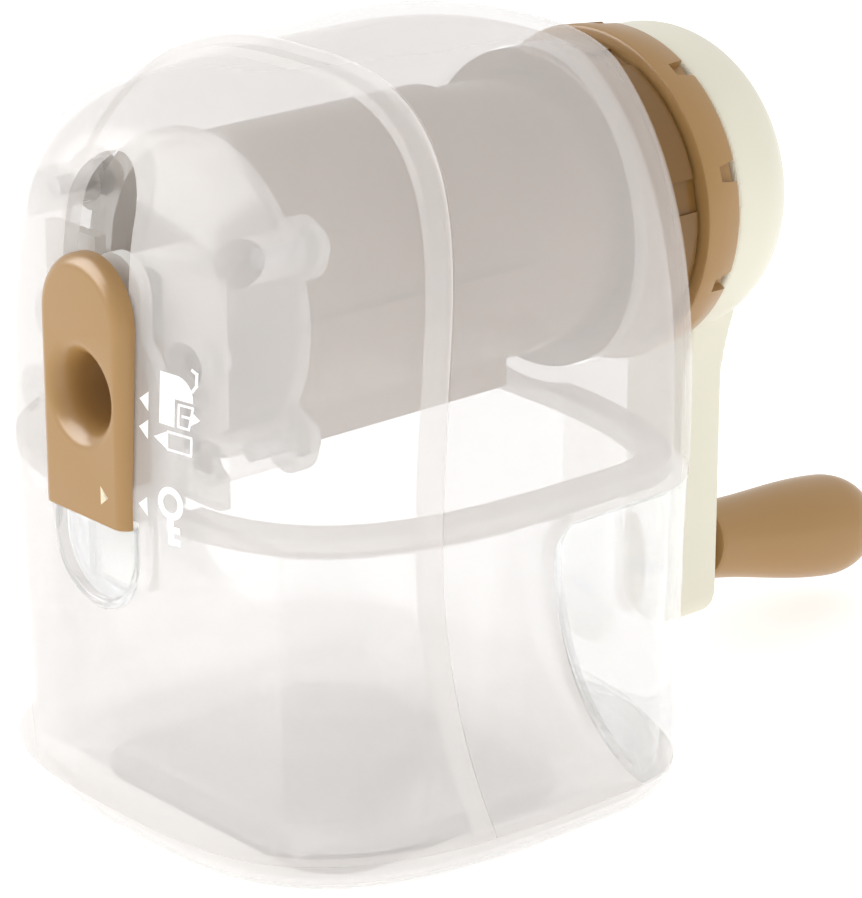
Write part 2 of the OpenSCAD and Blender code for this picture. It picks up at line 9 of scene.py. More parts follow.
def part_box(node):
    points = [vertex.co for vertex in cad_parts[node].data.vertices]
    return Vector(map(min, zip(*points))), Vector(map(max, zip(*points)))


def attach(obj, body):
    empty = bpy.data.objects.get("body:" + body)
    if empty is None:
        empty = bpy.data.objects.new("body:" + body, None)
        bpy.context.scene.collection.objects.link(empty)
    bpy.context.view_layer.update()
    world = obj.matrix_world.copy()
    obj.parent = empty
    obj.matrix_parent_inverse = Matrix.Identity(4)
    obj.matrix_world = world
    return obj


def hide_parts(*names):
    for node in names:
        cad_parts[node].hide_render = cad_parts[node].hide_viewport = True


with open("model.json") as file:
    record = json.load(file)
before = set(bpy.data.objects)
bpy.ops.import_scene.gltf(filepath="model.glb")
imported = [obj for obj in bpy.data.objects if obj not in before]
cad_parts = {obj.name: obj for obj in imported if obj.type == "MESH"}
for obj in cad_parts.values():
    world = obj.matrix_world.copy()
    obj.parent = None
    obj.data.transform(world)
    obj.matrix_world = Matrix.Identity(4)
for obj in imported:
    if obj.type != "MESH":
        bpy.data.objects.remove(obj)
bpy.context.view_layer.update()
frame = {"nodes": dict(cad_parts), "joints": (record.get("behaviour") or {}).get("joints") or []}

scene = bpy.context.scene
nodes = frame["nodes"]
joints = {j["name"]: j for j in frame["joints"]}
MM = 0.001
AXIS_Z = joints["crank_spin"]["pos_m"][2] / MM


# --- Casing: two halves moulded in frosted translucent ABS, the front one lapping over a
# thin lip of the rear one. The form is a rounded box: a squarish outline that is blunter
# at the front, tapers a little to the table and closes in a soft dome.

shell_low, shell_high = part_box("rear_shell")
front_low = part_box("front_shell")[0]
HALF_WIDTH = shell_high[0] / MM
FRONT_Y = front_low[1] / MM
REAR_Y = shell_high[1] / MM
CASE_TOP = shell_high[2] / MM
TRAY_TOP = shell_low[2] / MM
TAIL_LENGTH = 17.8
WIDEST_Y = REAR_Y - TAIL_LENGTH
PAD_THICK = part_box("non_slip_pad")[1][2] / MM
WALL = 2.0
FOOT_RADIUS = 6.0
# where each side starts to round towards the top, and how late and how tightly it does
SIDE_ROUND_FROM = 47.0
FRONT_ROUND_FROM = 62.0
REAR_ROUND_FROM = 86.0
SIDE_FADE = 2.8
FRONT_FADE = 4.4
REAR_FADE = 2.4
# share of its reach that each side draws in towards the table
SIDE_DRAFT = 0.05
FRONT_DRAFT = 0.02
REAR_DRAFT = 0.01
# how square the outline is: 2 is an ellipse
FRONT_SQUARENESS = 3.25
REAR_SQUARENESS = 2.3
FRONT_LEAN = 0.05
LAP = 1.7
LAP_GAP = 0.1
LIP_INSET = 1.15
GROOVE = 0.25
SEAM_RADIUS = 100.0
SEAM_Y = -13.5
SEAM_Z = 46.0


def rounded_over(z, start, top, power):
    """Share of a wall's reach that is left at height z, past where it starts to round."""
    if z <= start:
        return 1.0
    return max(1e-6, 1 - ((z - start) / (top - start)) ** power) ** (1 / power)


def casing_point(turn, z, inset):
    """Place on the casing's surface at height z, seen at angle turn from its widest line."""
    top = CASE_TOP - inset
    draft = min(0.0, z - SIDE_ROUND_FROM) / SIDE_ROUND_FROM
    under = max(0.0, FOOT_RADIUS + PAD_THICK - z)
    under = FOOT_RADIUS - math.sqrt(max(0.0, FOOT_RADIUS ** 2 - min(under, FOOT_RADIUS) ** 2))
    half = (HALF_WIDTH - inset) * (1 + SIDE_DRAFT * draft)
    half = half * rounded_over(z, SIDE_ROUND_FROM, top, SIDE_FADE) - under
    if math.sin(turn) < 0:
        lean = FRONT_LEAN * max(0.0, z - SIDE_ROUND_FROM)
        reach = (WIDEST_Y - FRONT_Y - inset - lean) * (1 + FRONT_DRAFT * draft)
        reach = reach * rounded_over(z, FRONT_ROUND_FROM, top, FRONT_FADE) - under
        power = FRONT_SQUARENESS
    else:
        reach = (REAR_Y - WIDEST_Y - inset) * (1 + REAR_DRAFT * draft)
        reach = reach * rounded_over(z, REAR_ROUND_FROM, top, REAR_FADE) - under
        power = REAR_SQUARENESS
    across = abs(math.cos(turn) / half) ** power + abs(math.sin(turn) / reach) ** power
    radius = across ** (-1 / power)
    return Vector((radius * math.cos(turn), WIDEST_Y + radius * math.sin(turn), z)) * MM


def casing_form(inset, low=None, high=None):
    """The casing's form, shrunk by inset, as a closed solid between two heights."""
    foot = [PAD_THICK + FOOT_RADIUS * (1 - math.cos(math.radians(a))) for a in range(0, 91, 9)]
    dome = [SIDE_ROUND_FROM + (CASE_TOP - SIDE_ROUND_FROM) * math.sin(math.radians(a * 89.5 / 36))
            for a in range(37)]
    levels = foot + [14.0, 22.0, 30.0, 38.0] + dome
    levels = [z - inset * max(0.0, z - SIDE_ROUND_FROM) / (CASE_TOP - SIDE_ROUND_FROM)
              for z in levels]
    low = levels[0] if low is None else low
    high = levels[-1] if high is None else high
    levels = [low] + [z for z in levels if low + 0.2 < z < high - 0.05] + [high]
    form = bmesh.new()
    bmesh.ops.create_circle(form, segments=144, radius=1)
    edges = form.edges[:]
    turns = {v: math.atan2(v.co.y, v.co.x) for v in form.verts}
    for v, turn in turns.items():
        v.co = casing_point(turn, levels[0], inset)
    for z in levels[1:]:
        grown = bmesh.ops.extrude_edge_only(form, edges=edges)["geom"]
        edges = [g for g in grown if isinstance(g, bmesh.types.BMEdge)]
        for v in {v for e in edges for v in e.verts}:
            v.co = casing_point(math.atan2(v.co.y - WIDEST_Y * MM, v.co.x), z, inset)
        edges = [e for e in edges if abs(e.verts[0].co.z - e.verts[1].co.z) < 1e-7]
    bmesh.ops.holes_fill(form, edges=form.edges[:])
    bmesh.ops.recalc_face_normals(form, faces=form.faces[:])
    return form


def solid(form):
    """A loose object for cutting or joining, from a bmesh."""
    mesh = bpy.data.meshes.new("solid")
    form.to_mesh(mesh)
    form.free()
    made = bpy.data.objects.new("solid", mesh)
    scene.collection.objects.link(made)
    return made


def combine(target, tool, operation="DIFFERENCE"):
    """Cuts tool out of target, or joins or intersects them, and returns target."""
    step = target.modifiers.new("combine", "BOOLEAN")
    step.operation = operation
    step.solver = "EXACT"
    step.object = tool
    seen = bpy.context.evaluated_depsgraph_get()
    mesh = bpy.data.meshes.new_from_object(target.evaluated_get(seen))
    target.modifiers.clear()
    target.data = mesh
    bpy.data.objects.remove(tool)
    return target


def prism(outline, along, low, high):
    """A solid with a flat outline, extruded along an axis from low to high."""
    form = bmesh.new()
    places = {"X": lambda a, b: (low, a, b), "Y": lambda a, b: (a, low, b),
              "Z": lambda a, b: (a, b, low)}[along]
    face = form.faces.new([form.verts.new(Vector(places(a, b)) * MM) for a, b in outline])
    side = Vector([float(along == axis) for axis in "XYZ"]) * (high - low) * MM
    grown = bmesh.ops.extrude_face_region(form, geom=[face])["geom"]
    bmesh.ops.translate(form, vec=side, verts=[g for g in grown if isinstance(g, bmesh.types.BMVert)])
    bmesh.ops.recalc_face_normals(form, faces=form.faces[:])
    return form


def box_solid(low, high):
    """An upright block between two corners."""
    corners = [(low[0], low[1]), (high[0], low[1]), (high[0], high[1]), (low[0], high[1])]
    return solid(prism(corners, "Z", low[2], high[2]))


def rod(radius, low_y, high_y, x=0.0, z=None, segments=96):
    """A round solid along Y."""
    form = bmesh.new()
    z = AXIS_Z if z is None else z
    place = Matrix.Translation(Vector((x, (low_y + high_y) / 2, z)) * MM)
    bmesh.ops.create_cone(form, cap_ends=True, segments=segments, radius1=radius * MM,
                          radius2=radius * MM, depth=(high_y - low_y) * MM,
                          matrix=place @ Matrix.Rotation(math.pi / 2, 4, "X"))
    return form


def behind_seam(grow=0.0):
    """All that lies behind the seam, whose line sweeps back towards the top and the foot."""
    form = bmesh.new()
    place = Matrix.Translation(Vector((0, SEAM_Y + SEAM_RADIUS, SEAM_Z)) * MM)
    bmesh.ops.create_cone(form, cap_ends=True, segments=512, radius1=(SEAM_RADIUS + grow) * MM,
                          radius2=(SEAM_RADIUS + grow) * MM, depth=120 * MM,
                          matrix=place @ Matrix.Rotation(math.pi / 2, 4, "Y"))
    return solid(form)


def arc(centre, radius, start, end, steps):
    """Points on a round stretch, in degrees."""
    turns = [math.radians(start + (end - start) * i / steps) for i in range(steps + 1)]
    return [(centre[0] + radius * math.cos(t), centre[1] + radius * math.sin(t)) for t in turns]


def colour(code):
    """An sRGB hex colour as linear red, green, blue and alpha."""
    parts = [int(code[i:i + 2], 16) / 255 for i in (1, 3, 5)]
    return tuple(p / 12.92 if p <= 0.04045 else ((p + 0.055) / 1.055) ** 2.4 for p in parts) + (1.0,)


def add(material, kind, inputs=None, **settings):
    """Adds one node with its settings, socket values and links."""
    made = material.node_tree.nodes.new(kind)
    for name, value in settings.items():
        setattr(made, name, value)
    for name, value in (inputs or {}).items():
        if isinstance(value, bpy.types.NodeSocket):
            material.node_tree.links.new(value, made.inputs[name])
        else:
            made.inputs[name].default_value = value
    return made


def moulded(name, tone, roughness, grain=0.35, relief=0.02, **sockets):
    """Injection-moulded plastic: an even colour with faint flow clouding, a slightly uneven
    gloss and a fine mould texture. grain is the texture's size in millimetres."""
    made = bpy.data.materials.new(name)
    made.use_nodes = True
    made.node_tree.nodes.clear()
    place = add(made, "ShaderNodeTexCoord").outputs["Object"]
    flow = add(made, "ShaderNodeTexNoise", {"Vector": place, "Scale": 1 / (14 * MM), "Detail": 2.0})
    fine = add(made, "ShaderNodeTexNoise", {"Vector": place, "Scale": 1 / (grain * MM), "Detail": 3.0})
    base = colour(tone)
    clouded = add(made, "ShaderNodeMix", {"Factor": flow.outputs["Fac"]}, data_type="RGBA")
    clouded.inputs[6].default_value = tuple(c * 0.96 for c in base[:3]) + (1.0,)
    clouded.inputs[7].default_value = tuple(min(1.0, c * 1.03) for c in base[:3]) + (1.0,)
    gloss = add(made, "ShaderNodeMapRange", {"Value": fine.outputs["Fac"], "To Min": roughness * 0.85,
                                             "To Max": roughness * 1.2})
    bump = add(made, "ShaderNodeBump", {"Height": fine.outputs["Fac"], "Strength": 0.4,
                                        "Distance": relief * MM})
    shader = add(made, "ShaderNodeBsdfPrincipled", {
        "Base Color": clouded.outputs[2], "Roughness": gloss.outputs["Result"],
        "Normal": bump.outputs["Normal"], "IOR": 1.5, **sockets})
    add(made, "ShaderNodeOutputMaterial", {"Surface": shader.outputs["BSDF"]})
    return made


def piece(name, made, body, material, stands_for=(), crease=32.0):
    """Names a finished solid, gives it its material and lets it ride on its body."""
    if isinstance(made, bmesh.types.BMesh):
        made = solid(made)
    made.name = name
    made.data.name = name
    made.data.materials.clear()
    made.data.materials.append(material)
    made.data.polygons.foreach_set("use_smooth", [True] * len(made.data.polygons))
    made.data.set_sharp_from_angle(angle=math.radians(crease))
    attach(made, body)
    if stands_for:
        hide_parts(*stands_for)
    return made


# frosted ABS passes most light and lays a milky veil over what is behind it
frosted = moulded("frosted_abs", "#F7F3F0", 0.15, grain=0.5, relief=0.003, Alpha=0.33)

SCOOP_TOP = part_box("bay_frame")[0][2] / MM
SCOOP_RADIUS = 50.0
SCOOP_Y = 1.0
SCOOP_CORNER = 4.0


def scoop(back, top):
    """The space behind the finger scoop that the drawer's outer skin fills."""
    centre_y = SCOOP_Y + SCOOP_RADIUS + back
    lowest = math.degrees(math.asin((top - TRAY_TOP + 1) / SCOOP_RADIUS))
    sweep = arc((centre_y, top), SCOOP_RADIUS, 180 + lowest, 180 + 5, 24)
    corner = arc((SCOOP_Y + back + SCOOP_CORNER + 0.1, top - SCOOP_CORNER), SCOOP_CORNER, 176, 90, 8)
    outline = sweep + corner + [(60, top), (60, TRAY_TOP - 1)]
    return solid(prism(outline, "X", -60, 60))


def arched(half, low, high, top=True):
    """An upright slot outline in X and Z whose top, or else whose foot, is round."""
    if top:
        return [(-half, low), (half, low)] + arc((0, high - half), half, 0, 180, 32)
    return [(half, high), (-half, high)] + arc((0, low + half), half, 180, 360, 32)


slider_low, slider_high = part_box("pencil_slider")
SLOT_HALF = 6.0
WINDOW_TOP = AXIS_Z + 18.3
RECESS_HALF = slider_high[0] / MM + 0.4
SLIDER_FOOT = slider_low[2] / MM
RECESS_FOOT = SLIDER_FOOT - 11.5
COLLAR_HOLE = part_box("rear_collar")[1][0] / MM + 0.3
# screw bosses behind the pencil face: places from the cutter's line, radius and end
BOSSES = (
    (18.4, 9.4, 2.6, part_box("mount_plate")[0][1] / MM),
    (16.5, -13.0, 2.6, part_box("mount_plate")[0][1] / MM),
    (12.5, -3.0, 2.8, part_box("slider_guide")[0][1] / MM),
)
BOSS_ROUND = 0.3

front = solid(casing_form(0.0))
combine(front, solid(casing_form(WALL, low=-1.0)))
combine(front, behind_seam())
lap = combine(solid(casing_form(LIP_INSET - LAP_GAP)), behind_seam(LAP + LAP_GAP), "INTERSECT")
combine(front, lap)
combine(front, box_solid((-60, -60, -5), (60, 60, TRAY_TOP)))
combine(front, solid(prism(arched(RECESS_HALF, RECESS_FOOT, SLIDER_FOOT + 1, top=False),
                           "Y", FRONT_Y - 2, FRONT_Y + 12)))
combine(front, solid(prism(arched(SLOT_HALF, SLIDER_FOOT, WINDOW_TOP), "Y", FRONT_Y - 2, FRONT_Y + 12)))
# a fine groove marks the seam on the outside
combine(front, combine(behind_seam(GROOVE), solid(casing_form(GROOVE))))
for x, z, radius, end in BOSSES:
    for side in (-1, 1):
        stub = rod(radius, FRONT_Y, end, x=side * x, z=AXIS_Z + z, segments=48)
        tip = [e for e in stub.edges if all(abs(v.co.y - end * MM) < 1e-7 for v in e.verts)]
        bmesh.ops.bevel(stub, geom=tip, offset=BOSS_ROUND * MM, segments=3, affect="EDGES",
                        profile=0.5, material=-1)
        stub = combine(solid(stub), solid(casing_form(WALL / 2)), "INTERSECT")
        combine(front, stub, "UNION")
piece("front_shell_moulding", front, "casing", frosted, ["front_shell"])

rear = combine(solid(casing_form(0.0)), behind_seam(), "INTERSECT")
lip = combine(solid(casing_form(LIP_INSET)), behind_seam(LAP), "INTERSECT")
combine(lip, box_solid((-60, 5, -5), (60, 60, 120)))
combine(rear, lip, "UNION")
combine(rear, solid(casing_form(WALL, low=-1.0)))
combine(rear, solid(rod(COLLAR_HOLE, REAR_Y - 14, REAR_Y + 3, segments=144)))
combine(rear, scoop(0.0, SCOOP_TOP))
combine(rear, box_solid((-60, -60, -5), (60, 60, TRAY_TOP)))
piece("rear_shell_moulding", rear, "casing", frosted, ["rear_shell"])


# --- Marks: the slider's three places and what each is for, pad-printed in white ink on
# the pencil face. The ink is a thin film that follows the face.

INK = 0.03


def face_y(x, z):
    """Where the pencil face lies at x and z."""
    lean = FRONT_LEAN * max(0.0, z - SIDE_ROUND_FROM)
    draft = min(0.0, z - SIDE_ROUND_FROM) / SIDE_ROUND_FROM
    half = HALF_WIDTH * (1 + SIDE_DRAFT * draft)
    half = half * rounded_over(z, SIDE_ROUND_FROM, CASE_TOP, SIDE_FADE)
    reach = (WIDEST_Y - FRONT_Y - lean) * (1 + FRONT_DRAFT * draft)
    reach = reach * rounded_over(z, FRONT_ROUND_FROM, CASE_TOP, FRONT_FADE)
    return WIDEST_Y - reach * (1 - (abs(x) / half) ** FRONT_SQUARENESS) ** (1 / FRONT_SQUARENESS)


def film(form, outline):
    """Adds one patch of ink with a flat outline in X and Z."""
    face = form.faces.new([form.verts.new(Vector((x, face_y(x, z), z)) * MM) for x, z in outline])
    grown = bmesh.ops.extrude_face_region(form, geom=[face])["geom"]
    bmesh.ops.translate(form, vec=(0, -INK * MM, 0),
                        verts=[g for g in grown if isinstance(g, bmesh.types.BMVert)])


def line(form, points, width):
    """Adds a printed line through points as square-ended strokes."""
    for (x0, z0), (x1, z1) in zip(points, points[1:]):
        length = math.hypot(x1 - x0, z1 - z0)
        ux, uz = (x1 - x0) / length * width / 2, (z1 - z0) / length * width / 2
        film(form, [(x0 - ux - uz, z0 - uz + ux), (x1 + ux - uz, z1 + uz + ux),
                    (x1 + ux + uz, z1 + uz - ux), (x0 - ux + uz, z0 - uz - ux)])


def ring_points(centre, radius, steps):
    return arc(centre, radius, 0, 360, steps)


marks = bmesh.new()
MARK_X = 8.2
for mark_z in (58.0, 54.8, 45.9):
    film(marks, [(MARK_X, mark_z), (MARK_X + 1.5, mark_z - 1.1), (MARK_X + 1.5, mark_z + 1.1)])
SIGN_X = 11.5
# sharpener: a body with a rounded shoulder, its crank and its drawer drawn half out
film(marks, [(SIGN_X, 56.0), (SIGN_X + 2.3, 56.0), (SIGN_X + 2.3, 59.2), (SIGN_X + 4.9, 59.2)]
     + arc((SIGN_X + 2.4, 59.4), 2.5, 0, 90, 8) + [(SIGN_X, 61.9)])
line(marks, [(SIGN_X + 4.8, 60.6), (SIGN_X + 5.3, 61.3), (SIGN_X + 5.3, 62.6), (SIGN_X + 4.7, 62.9)], 0.35)
line(marks, [(SIGN_X + 2.9, 58.7), (SIGN_X + 4.9, 58.7), (SIGN_X + 4.4, 56.2), (SIGN_X + 2.9, 56.2),
             (SIGN_X + 2.9, 58.7)], 0.28)
line(marks, [(SIGN_X + 3.5, 57.5), (SIGN_X + 4.8, 57.5)], 0.3)
film(marks, [(SIGN_X + 4.7, 56.7), (SIGN_X + 5.9, 57.5), (SIGN_X + 4.7, 58.3)])
# pencil
film(marks, [(SIGN_X - 0.8, 54.3), (SIGN_X + 1.4, 53.2), (SIGN_X + 1.4, 55.4)])
line(marks, [(SIGN_X + 1.4, 55.3), (SIGN_X + 4.8, 55.3), (SIGN_X + 4.8, 53.3), (SIGN_X + 1.4, 53.3)], 0.28)
# key
outer = ring_points((SIGN_X + 1.9, 47.2), 1.9, 28)
inner = ring_points((SIGN_X + 1.9, 47.2), 1.1, 28)
for i in range(28):
    film(marks, [outer[i], outer[i + 1], inner[i + 1], inner[i]])
film(marks, [(SIGN_X + 1.4, 45.5), (SIGN_X + 2.3, 45.5), (SIGN_X + 2.3, 42.3), (SIGN_X + 1.4, 42.3)])
for tooth_z in (44.2, 42.8):
    film(marks, [(SIGN_X + 2.2, tooth_z + 0.4), (SIGN_X + 3.2, tooth_z + 0.4),
                 (SIGN_X + 3.2, tooth_z - 0.4), (SIGN_X + 2.2, tooth_z - 0.4)])
bmesh.ops.recalc_face_normals(marks, faces=marks.faces[:])
# opaque white ink over the frosted face
white_ink = moulded("white_pad_ink", "#FFFFFF", 0.4, grain=0.2, relief=0.001)
piece("printed_marks", marks, "casing", white_ink, crease=40)


# --- Base tray and pad: the casing stands on a shallow tray moulded in the same frosted
# ABS. It plugs into the shells from below and carries a glued rubber pad.

tray = solid(casing_form(0.0, high=TRAY_TOP - 0.05))
combine(tray, solid(casing_form(WALL, low=PAD_THICK + 2.0)))
for side in (-1, 1):
    combine(tray, box_solid((side * 21 - 1.5, FRONT_Y + 12, 2.6), (side * 21 + 1.5, REAR_Y - 12, TRAY_TOP)),
            "UNION")
piece("base_tray_moulding", tray, "casing", frosted, ["base_tray"])

# matt black rubber, cut from sheet
rubber = moulded("pad_rubber", "#2A2A2C", 0.85, grain=0.25, relief=0.03)


# --- Drawer: clear acrylic bin. Its rear and sides show in a finger scoop cut in the rear
# shell, where its skin swells out flush with the casing.

drawer_low, drawer_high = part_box("drawer")
DRAWER_FOOT = drawer_low[2] / MM
DRAWER_TOP = drawer_high[2] / MM
DRAWER_FRONT = drawer_low[1] / MM
DRAWER_WALL = 1.8
DRAWER_INSET = 2.4
SKIN_GAP = 0.1
SCOOP_GAP = 0.3

drawer = solid(casing_form(DRAWER_INSET, low=DRAWER_FOOT, high=DRAWER_TOP))
combine(drawer, box_solid((-60, -60, 0), (60, DRAWER_FRONT, 60)))
swell = combine(solid(casing_form(SKIN_GAP, low=DRAWER_FOOT, high=DRAWER_TOP)),
                scoop(SCOOP_GAP, DRAWER_TOP + 0.4), "INTERSECT")
combine(drawer, swell, "UNION")
room = solid(casing_form(DRAWER_INSET + DRAWER_WALL, low=DRAWER_FOOT + DRAWER_WALL, high=DRAWER_TOP + 2))
combine(room, box_solid((-60, -60, 0), (60, DRAWER_FRONT + DRAWER_WALL, 60)))
combine(drawer, room)
room = solid(casing_form(SKIN_GAP + DRAWER_WALL, low=DRAWER_FOOT + DRAWER_WALL, high=DRAWER_TOP + 2))
combine(room, scoop(SCOOP_GAP + DRAWER_WALL, DRAWER_TOP + 0.4), "INTERSECT")
combine(drawer, room)

# clear acrylic with a polished surface
clear = bpy.data.materials.new("clear_acrylic")
clear.use_nodes = True
clear_shader = clear.node_tree.nodes["Principled BSDF"]
clear_shader.inputs["Base Color"].default_value = colour("#FCFDFE")
clear_shader.inputs["Roughness"].default_value = 0.03
clear_shader.inputs["IOR"].default_value = 1.49
clear_shader.inputs["Transmission Weight"].default_value = 1.0
clear_shader.inputs["Alpha"].default_value = 0.4
piece("drawer_moulding", drawer, "drawer", clear, ["drawer"])


# --- Slot liner: a clear U-shaped dish pressed into the recess below the pencil slider,
# with a raised, rounded rim.

liner_low, liner_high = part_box("slot_liner")
LINER_HALF = liner_high[0] / MM
LINER_RIM = 1.15
liner = bmesh.new()
outline = arched(LINER_HALF, liner_low[2] / MM, liner_high[2] / MM, top=False)
inside = arched(LINER_HALF - LINER_RIM, liner_low[2] / MM + LINER_RIM, liner_high[2] / MM, top=False)
front_y, floor_y, back_y = liner_low[1] / MM, liner_low[1] / MM + 1.2, liner_high[1] / MM
loops = []
for points, y in ((outline, back_y), (outline, front_y), (inside, front_y), (inside, floor_y)):
    loops.append([liner.verts.new(Vector((x, y, z)) * MM) for x, z in points])
for one, other in zip(loops, loops[1:]):
    for i in range(len(one)):
        j = (i + 1) % len(one)
        liner.faces.new([one[i], one[j], other[j], other[i]])
liner.faces.new(loops[0])
liner.faces.new(loops[-1])
bmesh.ops.recalc_face_normals(liner, faces=liner.faces[:])
rims = [e for e in liner.edges if abs(e.verts[0].co.y - front_y * MM) < 1e-7
        and abs(e.verts[1].co.y - front_y * MM) < 1e-7 and min(v.co.z for v in e.verts) < 0.0415
        and len(e.link_faces) == 2 and abs(e.calc_face_angle()) > 1]
bmesh.ops.bevel(liner, geom=rims, offset=0.4 * MM, segments=4, affect="EDGES", profile=0.5, material=-1)
piece("slot_liner_moulding", liner, "casing", clear, ["slot_liner"])


# --- Pencil slider: tan ABS thumb piece with a funnelled pencil hole and a tube behind it
# that reaches through the slot. It is pushed up to sharpen and down to lock.

slider_front = slider_low[1] / MM
slider_top = slider_high[2] / MM
SLIDER_HALF = slider_high[0] / MM
SLIDER_BACK = FRONT_Y - 0.2
MOUTH_Z = SLIDER_FOOT + 14.2
TUBE_END = slider_high[1] / MM
BORE = 4.2
TUBE = 5.6
thumb = prism(arched(SLIDER_HALF, SLIDER_FOOT, slider_top), "Y", slider_front, FRONT_Y + 5)
near = [e for e in thumb.edges if all(abs(v.co.y - slider_front * MM) < 1e-7 for v in e.verts)
        and not all(abs(v.co.z - SLIDER_FOOT * MM) < 1e-7 for v in e.verts)]
bmesh.ops.bevel(thumb, geom=near, offset=1.7 * MM, segments=10, affect="EDGES", profile=0.5, material=-1,
                clamp_overlap=True)
slider = solid(thumb)
back_line = [(SLIDER_BACK, SLIDER_FOOT - 2), (SLIDER_BACK, SIDE_ROUND_FROM),
             (SLIDER_BACK + FRONT_LEAN * (slider_top - SIDE_ROUND_FROM), slider_top + 0.01),
             (SLIDER_BACK + 9, slider_top + 0.01), (SLIDER_BACK + 9, SLIDER_FOOT - 2)]
combine(slider, solid(prism(back_line, "X", -20, 20)))
combine(slider, solid(rod(TUBE, FRONT_Y - 1, TUBE_END, z=MOUTH_Z)), "UNION")
combine(slider, box_solid((-TUBE, FRONT_Y - 1, MOUTH_Z - 10), (TUBE, FRONT_Y + 4.2, MOUTH_Z)), "UNION")


def turned(profile, steps=144, z=None):
    """A solid turned about a line along Y from a closed outline of radius and y."""
    form = bmesh.new()
    z = AXIS_Z if z is None else z
    points = [form.verts.new(Vector((r, y, z)) * MM) for r, y in profile]
    edges = [form.edges.new((points[i - 1], points[i])) for i in range(len(points))]
    bmesh.ops.spin(form, geom=points + edges, cent=Vector((0, 0, z)) * MM, axis=(0, 1, 0),
                   angle=math.tau, steps=steps, use_merge=True, use_duplicate=False)
    bmesh.ops.remove_doubles(form, verts=form.verts[:], dist=1e-7)
    bmesh.ops.recalc_face_normals(form, faces=form.faces[:])
    return form


FLARE = 2.3
FLARE_DEEP = 3.6
flare = [(BORE + FLARE * (1 - math.sin(math.radians(a))),
          slider_front + FLARE_DEEP * (1 - math.cos(math.radians(a)))) for a in range(0, 91, 9)]
funnel = [(0.0, slider_front - 1), (flare[0][0] + 0.6, slider_front - 1),
          (flare[0][0] + 0.6, slider_front - 0.001)]
funnel += flare + [(BORE, TUBE_END + 1), (0.0, TUBE_END + 1)]
combine(slider, solid(turned(funnel, steps=96, z=MOUTH_Z)))
# ABS coloured through in a warm tan, from a satin mould
tan = moulded("tan_abs", "#A98350", 0.3, grain=0.3, relief=0.006)
piece("pencil_slider_moulding", slider, "slider", tan, ["pencil_slider"])

pointer = bmesh.new()
corners = [(3.5, 47.0), (3.5, 44.8), (4.9, 45.9)]
face = pointer.faces.new([pointer.verts.new(Vector((x, slider_front + 0.02, z)) * MM) for x, z in corners])
grown = bmesh.ops.extrude_face_region(pointer, geom=[face])["geom"]
bmesh.ops.translate(pointer, vec=(0, -0.02 * MM, 0),
                    verts=[g for g in grown if isinstance(g, bmesh.types.BMVert)])
bmesh.ops.recalc_face_normals(pointer, faces=pointer.faces[:])
# thin cream ink that lets a little of the tan through
cream_ink = moulded("cream_pad_ink", "#F3E3C4", 0.4, grain=0.2, relief=0.001)
piece("slider_pointer", pointer, "slider", cream_ink)


# --- Drum and collar: smoke-brown translucent polycarbonate. The drum holds the
# cutter and the ring gear; a plate screws it to the front shell's stub bosses.

# smoke-brown polycarbonate, clouded enough that only shapes show through
smoke = moulded("smoke_polycarbonate", "#86612F", 0.22, grain=0.6, relief=0.006, Alpha=0.85)
housing_low, housing_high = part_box("cutter_housing")
ring_low, ring_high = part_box("ring_gear")
drum_front, drum_back = housing_low[1] / MM, housing_high[1] / MM
GEAR_FRONT, GEAR_BACK = ring_low[1] / MM, ring_high[1] / MM
GEAR_SEAT = ring_high[0] / MM
DRUM_RADIUS = 17.63
DRUM_BORE = DRUM_RADIUS - 1.4
STEP_Y = GEAR_FRONT - 1.2
TAIL_RADIUS = DRUM_RADIUS - 1
drum = solid(turned([
    (6.0, drum_front), (DRUM_RADIUS - 0.4, drum_front), (DRUM_RADIUS, drum_front + 0.4),
    (DRUM_RADIUS, STEP_Y - 0.4), (DRUM_RADIUS - 0.4, STEP_Y), (TAIL_RADIUS, STEP_Y + 0.01),
    (TAIL_RADIUS, drum_back), (GEAR_SEAT + 0.95, drum_back), (GEAR_SEAT + 0.95, GEAR_BACK + 0.2),
    (GEAR_SEAT, GEAR_BACK + 0.2), (GEAR_SEAT, GEAR_FRONT), (GEAR_SEAT - 1.75, GEAR_FRONT),
    (GEAR_SEAT - 1.75, STEP_Y), (DRUM_BORE, STEP_Y - 1.4), (DRUM_BORE, drum_front + 4),
    (7.05, drum_front + 4), (7.05, drum_front + 1.8), (6.0, drum_front + 1.8)]))
for side in (-1, 1):
    combine(drum, box_solid((side * DRUM_RADIUS - 1, drum_front, AXIS_Z - 0.6),
                            (side * DRUM_RADIUS + 1, STEP_Y, AXIS_Z + 0.6)), "UNION")
    combine(drum, box_solid((side * 11.6 - 0.6, drum_front, AXIS_Z - DRUM_RADIUS + 1.6),
                            (side * 11.6 + 0.6, STEP_Y, AXIS_Z - DRUM_RADIUS + 5.4)), "UNION")
combine(drum, box_solid((-11, drum_front + 5.5, AXIS_Z - DRUM_RADIUS - 1), (11, STEP_Y - 3, AXIS_Z - 9)))
piece("cutter_drum", drum, "casing", smoke, ["cutter_housing"])

